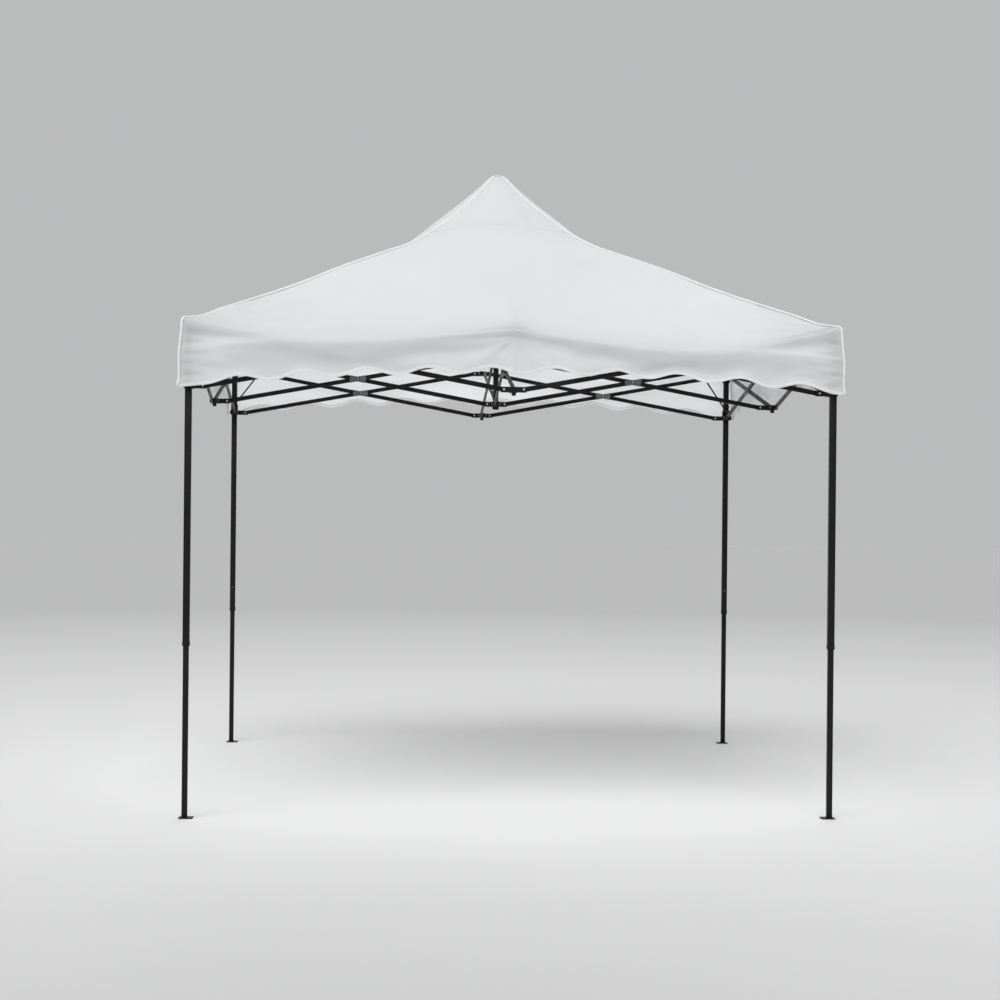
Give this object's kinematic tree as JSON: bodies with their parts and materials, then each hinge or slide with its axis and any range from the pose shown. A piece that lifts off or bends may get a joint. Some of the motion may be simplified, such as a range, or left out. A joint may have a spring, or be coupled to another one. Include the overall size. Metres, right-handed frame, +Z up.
{
  "type": "pop up canopy",
  "caption": "Square pop up canopy: folding scissor-truss frame on telescopic legs, central mast and a peaked fabric cover with a scalloped valance.",
  "frame": {"origin": "on the ground at the centre of the four feet", "axes": "+Z up, -Y towards the front side, +X to the right seen from the front"},
  "size_m": [2.952, 2.952, 3.104],
  "materials": {
    "black_steel": "satin",
    "black_plastic": "matte",
    "grey_plastic": "matte",
    "white_fabric": "matte"
  },
  "bodies": {
    "upper_hub_and_cover": {"upper_hub": "black_plastic", "cover": "white_fabric"},
    "front_spoke_upper_bar": {"front_spoke_upper_bar": "black_steel"},
    "front_spoke_lower_bar": {"front_spoke_lower_bar": "black_steel"},
    "front_lower_connector": {"front_lower_connector": "black_plastic"},
    "front_upper_connector": {"front_upper_connector": "black_plastic"},
    "front_rising_bar_a": {"front_rising_bar_a": "black_steel"},
    "front_rising_bar_b": {"front_rising_bar_b": "black_steel"},
    "front_falling_bar_a": {"front_falling_bar_a": "black_steel"},
    "front_falling_bar_b": {"front_falling_bar_b": "black_steel"},
    "lower_hub_and_mast_tube": {"lower_hub_with_mast_tube": "black_steel"},
    "front_left_leg": {"front_left_outer_leg": "black_steel", "front_left_top_bracket": "black_plastic"},
    "front_left_slider": {"front_left_slider": "black_plastic"},
    "front_left_inner_leg": {"front_left_inner_leg": "black_steel"},
    "front_left_leg_button": {"front_left_leg_button": "grey_plastic"},
    "front_left_slider_button": {"front_left_slider_button": "grey_plastic"},
    "front_right_leg": {"front_right_outer_leg": "black_steel", "front_right_top_bracket": "black_plastic"},
    "front_right_slider": {"front_right_slider": "black_plastic"},
    "front_right_inner_leg": {"front_right_inner_leg": "black_steel"},
    "front_right_leg_button": {"front_right_leg_button": "grey_plastic"},
    "front_right_slider_button": {"front_right_slider_button": "grey_plastic"},
    "right_spoke_upper_bar": {"right_spoke_upper_bar": "black_steel"},
    "right_spoke_lower_bar": {"right_spoke_lower_bar": "black_steel"},
    "right_lower_connector": {"right_lower_connector": "black_plastic"},
    "right_upper_connector": {"right_upper_connector": "black_plastic"},
    "right_rising_bar_a": {"right_rising_bar_a": "black_steel"},
    "right_rising_bar_b": {"right_rising_bar_b": "black_steel"},
    "right_falling_bar_a": {"right_falling_bar_a": "black_steel"},
    "right_falling_bar_b": {"right_falling_bar_b": "black_steel"},
    "back_spoke_upper_bar": {"back_spoke_upper_bar": "black_steel"},
    "back_spoke_lower_bar": {"back_spoke_lower_bar": "black_steel"},
    "back_lower_connector": {"back_lower_connector": "black_plastic"},
    "back_upper_connector": {"back_upper_connector": "black_plastic"},
    "back_rising_bar_a": {"back_rising_bar_a": "black_steel"},
    "back_rising_bar_b": {"back_rising_bar_b": "black_steel"},
    "back_falling_bar_a": {"back_falling_bar_a": "black_steel"},
    "back_falling_bar_b": {"back_falling_bar_b": "black_steel"},
    "back_right_leg": {"back_right_outer_leg": "black_steel", "back_right_top_bracket": "black_plastic"},
    "back_right_slider": {"back_right_slider": "black_plastic"},
    "back_right_inner_leg": {"back_right_inner_leg": "black_steel"},
    "back_right_leg_button": {"back_right_leg_button": "grey_plastic"},
    "back_right_slider_button": {"back_right_slider_button": "grey_plastic"},
    "back_left_leg": {"back_left_outer_leg": "black_steel", "back_left_top_bracket": "black_plastic"},
    "back_left_slider": {"back_left_slider": "black_plastic"},
    "back_left_inner_leg": {"back_left_inner_leg": "black_steel"},
    "back_left_leg_button": {"back_left_leg_button": "grey_plastic"},
    "back_left_slider_button": {"back_left_slider_button": "grey_plastic"},
    "left_spoke_upper_bar": {"left_spoke_upper_bar": "black_steel"},
    "left_spoke_lower_bar": {"left_spoke_lower_bar": "black_steel"},
    "left_lower_connector": {"left_lower_connector": "black_plastic"},
    "left_upper_connector": {"left_upper_connector": "black_plastic"},
    "left_rising_bar_a": {"left_rising_bar_a": "black_steel"},
    "left_rising_bar_b": {"left_rising_bar_b": "black_steel"},
    "left_falling_bar_a": {"left_falling_bar_a": "black_steel"},
    "left_falling_bar_b": {"left_falling_bar_b": "black_steel"},
    "mast_pole": {"mast_pole": "black_steel"}
  },
  "joints": [
    {"name": "fold", "type": "hinge", "parent": "upper_hub_and_cover", "child": "front_spoke_upper_bar", "pos_m": [0.008, -0.045, 2.17], "axis": [1, 0, 0], "range_deg": [0, 73.6]},
    {"name": "front_spoke_crossing", "type": "hinge", "parent": "front_spoke_upper_bar", "child": "front_spoke_lower_bar", "pos_m": [0, -0.715, 2.0475], "axis": [-1, 0, 0], "range_deg": [0, 147.2]},
    {"name": "front_lower_connector_pivot", "type": "hinge", "parent": "front_spoke_upper_bar", "child": "front_lower_connector", "pos_m": [0.008, -1.385, 1.925], "axis": [-1, 0, 0], "range_deg": [0, 73.6]},
    {"name": "front_upper_connector_pivot", "type": "hinge", "parent": "front_spoke_lower_bar", "child": "front_upper_connector", "pos_m": [-0.008, -1.385, 2.17], "axis": [1, 0, 0], "range_deg": [0, 73.6]},
    {"name": "lower_hub_pivot", "type": "hinge", "parent": "front_spoke_lower_bar", "child": "lower_hub_and_mast_tube", "pos_m": [-0.008, -0.045, 1.925], "axis": [1, 0, 0], "range_deg": [0, 73.6]},
    {"name": "front_rising_bar_a_fold", "type": "hinge", "parent": "front_lower_connector", "child": "front_rising_bar_a", "pos_m": [-0.045, -1.458, 1.925], "axis": [0, 1, 0], "range_deg": [0, 73.6]},
    {"name": "front_falling_bar_a_fold", "type": "hinge", "parent": "front_upper_connector", "child": "front_falling_bar_a", "pos_m": [-0.045, -1.442, 2.17], "axis": [0, -1, 0], "range_deg": [0, 73.6]},
    {"name": "front_left_bracket_pivot", "type": "hinge", "parent": "front_rising_bar_a", "child": "front_left_leg", "pos_m": [-1.385, -1.458, 2.17], "axis": [0, -1, 0], "range_deg": [0, 73.6]},
    {"name": "front_left_slider_pivot", "type": "hinge", "parent": "front_falling_bar_a", "child": "front_left_slider", "pos_m": [-1.385, -1.442, 1.925], "axis": [0, 1, 0], "range_deg": [0, 73.6]},
    {"name": "front_left_leg_slide", "type": "slide", "parent": "front_left_leg", "child": "front_left_inner_leg", "axis": [0, 0, 1], "range_m": [0, 0.7]},
    {"name": "front_left_leg_button_press", "type": "slide", "parent": "front_left_leg", "child": "front_left_leg_button", "axis": [0, -1, 0], "range_m": [0, 0.003], "stiffness_N_per_m": 500, "springref_m": -0.002},
    {"name": "front_left_slider_button_press", "type": "slide", "parent": "front_left_slider", "child": "front_left_slider_button", "axis": [0, -1, 0], "range_m": [0, 0.004], "stiffness_N_per_m": 500, "springref_m": -0.002},
    {"name": "front_rising_bar_b_fold", "type": "hinge", "parent": "front_lower_connector", "child": "front_rising_bar_b", "pos_m": [0.045, -1.458, 1.925], "axis": [0, -1, 0], "range_deg": [0, 73.6]},
    {"name": "front_falling_bar_b_fold", "type": "hinge", "parent": "front_upper_connector", "child": "front_falling_bar_b", "pos_m": [0.045, -1.442, 2.17], "axis": [0, 1, 0], "range_deg": [0, 73.6]},
    {"name": "front_right_bracket_pivot", "type": "hinge", "parent": "front_rising_bar_b", "child": "front_right_leg", "pos_m": [1.385, -1.458, 2.17], "axis": [0, 1, 0], "range_deg": [0, 73.6]},
    {"name": "front_right_slider_pivot", "type": "hinge", "parent": "front_falling_bar_b", "child": "front_right_slider", "pos_m": [1.385, -1.442, 1.925], "axis": [0, -1, 0], "range_deg": [0, 73.6]},
    {"name": "front_right_leg_slide", "type": "slide", "parent": "front_right_leg", "child": "front_right_inner_leg", "axis": [0, 0, 1], "range_m": [0, 0.7]},
    {"name": "front_right_leg_button_press", "type": "slide", "parent": "front_right_leg", "child": "front_right_leg_button", "axis": [0, -1, 0], "range_m": [0, 0.003], "stiffness_N_per_m": 500, "springref_m": -0.002},
    {"name": "front_right_slider_button_press", "type": "slide", "parent": "front_right_slider", "child": "front_right_slider_button", "axis": [0, -1, 0], "range_m": [0, 0.004], "stiffness_N_per_m": 500, "springref_m": -0.002},
    {"name": "right_spoke_fold", "type": "hinge", "parent": "upper_hub_and_cover", "child": "right_spoke_upper_bar", "pos_m": [0.045, 0.008, 2.17], "axis": [0, 1, 0], "range_deg": [0, 73.6]},
    {"name": "right_spoke_crossing", "type": "hinge", "parent": "right_spoke_upper_bar", "child": "right_spoke_lower_bar", "pos_m": [0.715, 0, 2.0475], "axis": [0, -1, 0], "range_deg": [0, 147.2]},
    {"name": "right_lower_connector_pivot", "type": "hinge", "parent": "right_spoke_upper_bar", "child": "right_lower_connector", "pos_m": [1.385, 0.008, 1.925], "axis": [0, -1, 0], "range_deg": [0, 73.6]},
    {"name": "right_upper_connector_pivot", "type": "hinge", "parent": "right_spoke_lower_bar", "child": "right_upper_connector", "pos_m": [1.385, -0.008, 2.17], "axis": [0, 1, 0], "range_deg": [0, 73.6]},
    {"name": "right_rising_bar_a_fold", "type": "hinge", "parent": "right_lower_connector", "child": "right_rising_bar_a", "pos_m": [1.458, -0.045, 1.925], "axis": [-1, 0, 0], "range_deg": [0, 73.6]},
    {"name": "right_falling_bar_a_fold", "type": "hinge", "parent": "right_upper_connector", "child": "right_falling_bar_a", "pos_m": [1.442, -0.045, 2.17], "axis": [1, 0, 0], "range_deg": [0, 73.6]},
    {"name": "right_rising_bar_b_fold", "type": "hinge", "parent": "right_lower_connector", "child": "right_rising_bar_b", "pos_m": [1.458, 0.045, 1.925], "axis": [1, 0, 0], "range_deg": [0, 73.6]},
    {"name": "right_falling_bar_b_fold", "type": "hinge", "parent": "right_upper_connector", "child": "right_falling_bar_b", "pos_m": [1.442, 0.045, 2.17], "axis": [-1, 0, 0], "range_deg": [0, 73.6]},
    {"name": "back_spoke_fold", "type": "hinge", "parent": "upper_hub_and_cover", "child": "back_spoke_upper_bar", "pos_m": [-0.008, 0.045, 2.17], "axis": [-1, 0, 0], "range_deg": [0, 73.6]},
    {"name": "back_spoke_crossing", "type": "hinge", "parent": "back_spoke_upper_bar", "child": "back_spoke_lower_bar", "pos_m": [0, 0.715, 2.0475], "axis": [1, 0, 0], "range_deg": [0, 147.2]},
    {"name": "back_lower_connector_pivot", "type": "hinge", "parent": "back_spoke_upper_bar", "child": "back_lower_connector", "pos_m": [-0.008, 1.385, 1.925], "axis": [1, 0, 0], "range_deg": [0, 73.6]},
    {"name": "back_upper_connector_pivot", "type": "hinge", "parent": "back_spoke_lower_bar", "child": "back_upper_connector", "pos_m": [0.008, 1.385, 2.17], "axis": [-1, 0, 0], "range_deg": [0, 73.6]},
    {"name": "back_rising_bar_a_fold", "type": "hinge", "parent": "back_lower_connector", "child": "back_rising_bar_a", "pos_m": [0.045, 1.458, 1.925], "axis": [0, -1, 0], "range_deg": [0, 73.6]},
    {"name": "back_falling_bar_a_fold", "type": "hinge", "parent": "back_upper_connector", "child": "back_falling_bar_a", "pos_m": [0.045, 1.442, 2.17], "axis": [0, 1, 0], "range_deg": [0, 73.6]},
    {"name": "back_right_bracket_pivot", "type": "hinge", "parent": "back_rising_bar_a", "child": "back_right_leg", "pos_m": [1.385, 1.458, 2.17], "axis": [0, 1, 0], "range_deg": [0, 73.6]},
    {"name": "back_right_slider_pivot", "type": "hinge", "parent": "back_falling_bar_a", "child": "back_right_slider", "pos_m": [1.385, 1.442, 1.925], "axis": [0, -1, 0], "range_deg": [0, 73.6]},
    {"name": "back_right_leg_slide", "type": "slide", "parent": "back_right_leg", "child": "back_right_inner_leg", "axis": [0, 0, 1], "range_m": [0, 0.7]},
    {"name": "back_right_leg_button_press", "type": "slide", "parent": "back_right_leg", "child": "back_right_leg_button", "axis": [0, 1, 0], "range_m": [0, 0.003], "stiffness_N_per_m": 500, "springref_m": -0.002},
    {"name": "back_right_slider_button_press", "type": "slide", "parent": "back_right_slider", "child": "back_right_slider_button", "axis": [0, 1, 0], "range_m": [0, 0.004], "stiffness_N_per_m": 500, "springref_m": -0.002},
    {"name": "back_rising_bar_b_fold", "type": "hinge", "parent": "back_lower_connector", "child": "back_rising_bar_b", "pos_m": [-0.045, 1.458, 1.925], "axis": [0, 1, 0], "range_deg": [0, 73.6]},
    {"name": "back_falling_bar_b_fold", "type": "hinge", "parent": "back_upper_connector", "child": "back_falling_bar_b", "pos_m": [-0.045, 1.442, 2.17], "axis": [0, -1, 0], "range_deg": [0, 73.6]},
    {"name": "back_left_bracket_pivot", "type": "hinge", "parent": "back_rising_bar_b", "child": "back_left_leg", "pos_m": [-1.385, 1.458, 2.17], "axis": [0, -1, 0], "range_deg": [0, 73.6]},
    {"name": "back_left_slider_pivot", "type": "hinge", "parent": "back_falling_bar_b", "child": "back_left_slider", "pos_m": [-1.385, 1.442, 1.925], "axis": [0, 1, 0], "range_deg": [0, 73.6]},
    {"name": "back_left_leg_slide", "type": "slide", "parent": "back_left_leg", "child": "back_left_inner_leg", "axis": [0, 0, 1], "range_m": [0, 0.7]},
    {"name": "back_left_leg_button_press", "type": "slide", "parent": "back_left_leg", "child": "back_left_leg_button", "axis": [0, 1, 0], "range_m": [0, 0.003], "stiffness_N_per_m": 500, "springref_m": -0.002},
    {"name": "back_left_slider_button_press", "type": "slide", "parent": "back_left_slider", "child": "back_left_slider_button", "axis": [0, 1, 0], "range_m": [0, 0.004], "stiffness_N_per_m": 500, "springref_m": -0.002},
    {"name": "left_spoke_fold", "type": "hinge", "parent": "upper_hub_and_cover", "child": "left_spoke_upper_bar", "pos_m": [-0.045, -0.008, 2.17], "axis": [0, -1, 0], "range_deg": [0, 73.6]},
    {"name": "left_spoke_crossing", "type": "hinge", "parent": "left_spoke_upper_bar", "child": "left_spoke_lower_bar", "pos_m": [-0.715, 0, 2.0475], "axis": [0, 1, 0], "range_deg": [0, 147.2]},
    {"name": "left_lower_connector_pivot", "type": "hinge", "parent": "left_spoke_upper_bar", "child": "left_lower_connector", "pos_m": [-1.385, -0.008, 1.925], "axis": [0, 1, 0], "range_deg": [0, 73.6]},
    {"name": "left_upper_connector_pivot", "type": "hinge", "parent": "left_spoke_lower_bar", "child": "left_upper_connector", "pos_m": [-1.385, 0.008, 2.17], "axis": [0, -1, 0], "range_deg": [0, 73.6]},
    {"name": "left_rising_bar_a_fold", "type": "hinge", "parent": "left_lower_connector", "child": "left_rising_bar_a", "pos_m": [-1.458, 0.045, 1.925], "axis": [1, 0, 0], "range_deg": [0, 73.6]},
    {"name": "left_falling_bar_a_fold", "type": "hinge", "parent": "left_upper_connector", "child": "left_falling_bar_a", "pos_m": [-1.442, 0.045, 2.17], "axis": [-1, 0, 0], "range_deg": [0, 73.6]},
    {"name": "left_rising_bar_b_fold", "type": "hinge", "parent": "left_lower_connector", "child": "left_rising_bar_b", "pos_m": [-1.458, -0.045, 1.925], "axis": [-1, 0, 0], "range_deg": [0, 73.6]},
    {"name": "left_falling_bar_b_fold", "type": "hinge", "parent": "left_upper_connector", "child": "left_falling_bar_b", "pos_m": [-1.442, -0.045, 2.17], "axis": [1, 0, 0], "range_deg": [0, 73.6]},
    {"name": "mast_slide", "type": "slide", "parent": "lower_hub_and_mast_tube", "child": "mast_pole", "axis": [0, 0, 1], "range_m": [0, 0.2702]}
  ],
  "couplings": [
    {"joint": "front_spoke_crossing", "follows": "fold", "ratio": 2},
    {"joint": "front_lower_connector_pivot", "follows": "fold", "ratio": 1},
    {"joint": "front_upper_connector_pivot", "follows": "fold", "ratio": 1},
    {"joint": "lower_hub_pivot", "follows": "fold", "ratio": 1},
    {"joint": "front_rising_bar_a_fold", "follows": "fold", "ratio": 1},
    {"joint": "front_falling_bar_a_fold", "follows": "fold", "ratio": 1},
    {"joint": "front_left_bracket_pivot", "follows": "fold", "ratio": 1},
    {"joint": "front_left_slider_pivot", "follows": "fold", "ratio": 1},
    {"joint": "front_rising_bar_b_fold", "follows": "fold", "ratio": 1},
    {"joint": "front_falling_bar_b_fold", "follows": "fold", "ratio": 1},
    {"joint": "front_right_bracket_pivot", "follows": "fold", "ratio": 1},
    {"joint": "front_right_slider_pivot", "follows": "fold", "ratio": 1},
    {"joint": "right_spoke_fold", "follows": "fold", "ratio": 1},
    {"joint": "right_spoke_crossing", "follows": "fold", "ratio": 2},
    {"joint": "right_lower_connector_pivot", "follows": "fold", "ratio": 1},
    {"joint": "right_upper_connector_pivot", "follows": "fold", "ratio": 1},
    {"joint": "right_rising_bar_a_fold", "follows": "fold", "ratio": 1},
    {"joint": "right_falling_bar_a_fold", "follows": "fold", "ratio": 1},
    {"joint": "right_rising_bar_b_fold", "follows": "fold", "ratio": 1},
    {"joint": "right_falling_bar_b_fold", "follows": "fold", "ratio": 1},
    {"joint": "back_spoke_fold", "follows": "fold", "ratio": 1},
    {"joint": "back_spoke_crossing", "follows": "fold", "ratio": 2},
    {"joint": "back_lower_connector_pivot", "follows": "fold", "ratio": 1},
    {"joint": "back_upper_connector_pivot", "follows": "fold", "ratio": 1},
    {"joint": "back_rising_bar_a_fold", "follows": "fold", "ratio": 1},
    {"joint": "back_falling_bar_a_fold", "follows": "fold", "ratio": 1},
    {"joint": "back_right_bracket_pivot", "follows": "fold", "ratio": 1},
    {"joint": "back_right_slider_pivot", "follows": "fold", "ratio": 1},
    {"joint": "back_rising_bar_b_fold", "follows": "fold", "ratio": 1},
    {"joint": "back_falling_bar_b_fold", "follows": "fold", "ratio": 1},
    {"joint": "back_left_bracket_pivot", "follows": "fold", "ratio": 1},
    {"joint": "back_left_slider_pivot", "follows": "fold", "ratio": 1},
    {"joint": "left_spoke_fold", "follows": "fold", "ratio": 1},
    {"joint": "left_spoke_crossing", "follows": "fold", "ratio": 2},
    {"joint": "left_lower_connector_pivot", "follows": "fold", "ratio": 1},
    {"joint": "left_upper_connector_pivot", "follows": "fold", "ratio": 1},
    {"joint": "left_rising_bar_a_fold", "follows": "fold", "ratio": 1},
    {"joint": "left_falling_bar_a_fold", "follows": "fold", "ratio": 1},
    {"joint": "left_rising_bar_b_fold", "follows": "fold", "ratio": 1},
    {"joint": "left_falling_bar_b_fold", "follows": "fold", "ratio": 1},
    {"joint": "mast_slide", "follows": "fold", "m_per_rad": 0.2102}
  ]
}
